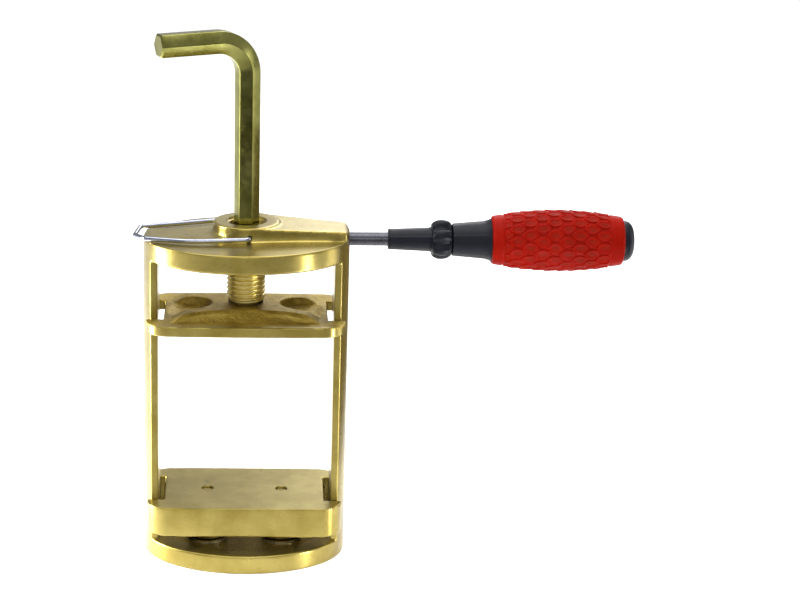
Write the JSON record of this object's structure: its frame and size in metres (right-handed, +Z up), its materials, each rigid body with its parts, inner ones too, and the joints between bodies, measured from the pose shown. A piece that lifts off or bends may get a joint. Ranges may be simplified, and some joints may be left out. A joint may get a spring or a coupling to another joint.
{
  "type": "two-flask bench press",
  "caption": "Bench press with an oval cast brass frame, a screw-driven upper plate, a spring-backed lower plate, hex key, wire carrying bail and side handle.",
  "frame": {"origin": "middle of the base's underside, on the bench", "axes": "+Z up along the pressure screw, +X towards the side handle, -Y the front"},
  "size_m": [0.2711, 0.082, 0.295],
  "materials": {
    "brass": "ground cast brass",
    "cast_brass": "rough cast brass",
    "screw_brass": "machined brass",
    "plated_key": "yellow plated steel",
    "steel": "turned steel",
    "spring_steel": "oiled spring steel",
    "wire": "bright drawn wire",
    "shank_steel": "blackened steel",
    "black_plastic": "moulded, semi-gloss",
    "red_rubber": "moulded rubber, soft sheen"
  },
  "bodies": {
    "frame": {"frame": "brass", "spring_seat_left": "steel", "spring_seat_right": "steel", "disc_springs_left": "spring_steel", "disc_springs_right": "spring_steel"},
    "upper_plate": {"upper_plate": "cast_brass", "thrust_washer": "steel"},
    "screw": {"pressure_screw": "screw_brass", "retaining_washer": "steel", "retaining_screw": "steel"},
    "key": {"hex_key": "plated_key"},
    "lower_plate": {"lower_plate": "brass", "guide_pin_left": "steel", "guide_pin_right": "steel", "retaining_clip_left": "steel", "retaining_clip_right": "steel"},
    "bail": {"carry_bail": "wire"},
    "handle": {"handle_shank": "shank_steel", "handle_core": "black_plastic", "grip_sleeve": "red_rubber", "handle_end_cap": "black_plastic"}
  },
  "joints": [
    {"name": "plate_travel", "type": "slide", "parent": "frame", "child": "upper_plate", "axis": [0, 0, 1], "range_m": [-0.008, 0.022]},
    {"name": "screw_turn", "type": "hinge", "parent": "upper_plate", "child": "screw", "pos_m": [0, 0, 0.16], "axis": [0, 0, 1], "range_deg": [-1152, 3168]},
    {"name": "key_lift", "type": "slide", "parent": "screw", "child": "key", "axis": [0, 0, 1], "range_m": [0, 0.027]},
    {"name": "spring_travel", "type": "slide", "parent": "frame", "child": "lower_plate", "axis": [0, 0, 1], "range_m": [-0.002, 0], "stiffness_N_per_m": 360000, "deforming": ["disc_springs_left", "disc_springs_right"]},
    {"name": "bail_swing", "type": "hinge", "parent": "frame", "child": "bail", "pos_m": [0.0016, 0, 0.185], "axis": [0, 1, 0], "range_deg": [0, 80]},
    {"name": "handle_pull", "type": "slide", "parent": "frame", "child": "handle", "axis": [1, 0, 0], "range_m": [0, 0.0215]}
  ],
  "couplings": [
    {"joint": "screw_turn", "follows": "plate_travel", "rad_per_m": 2513.3}
  ]
}
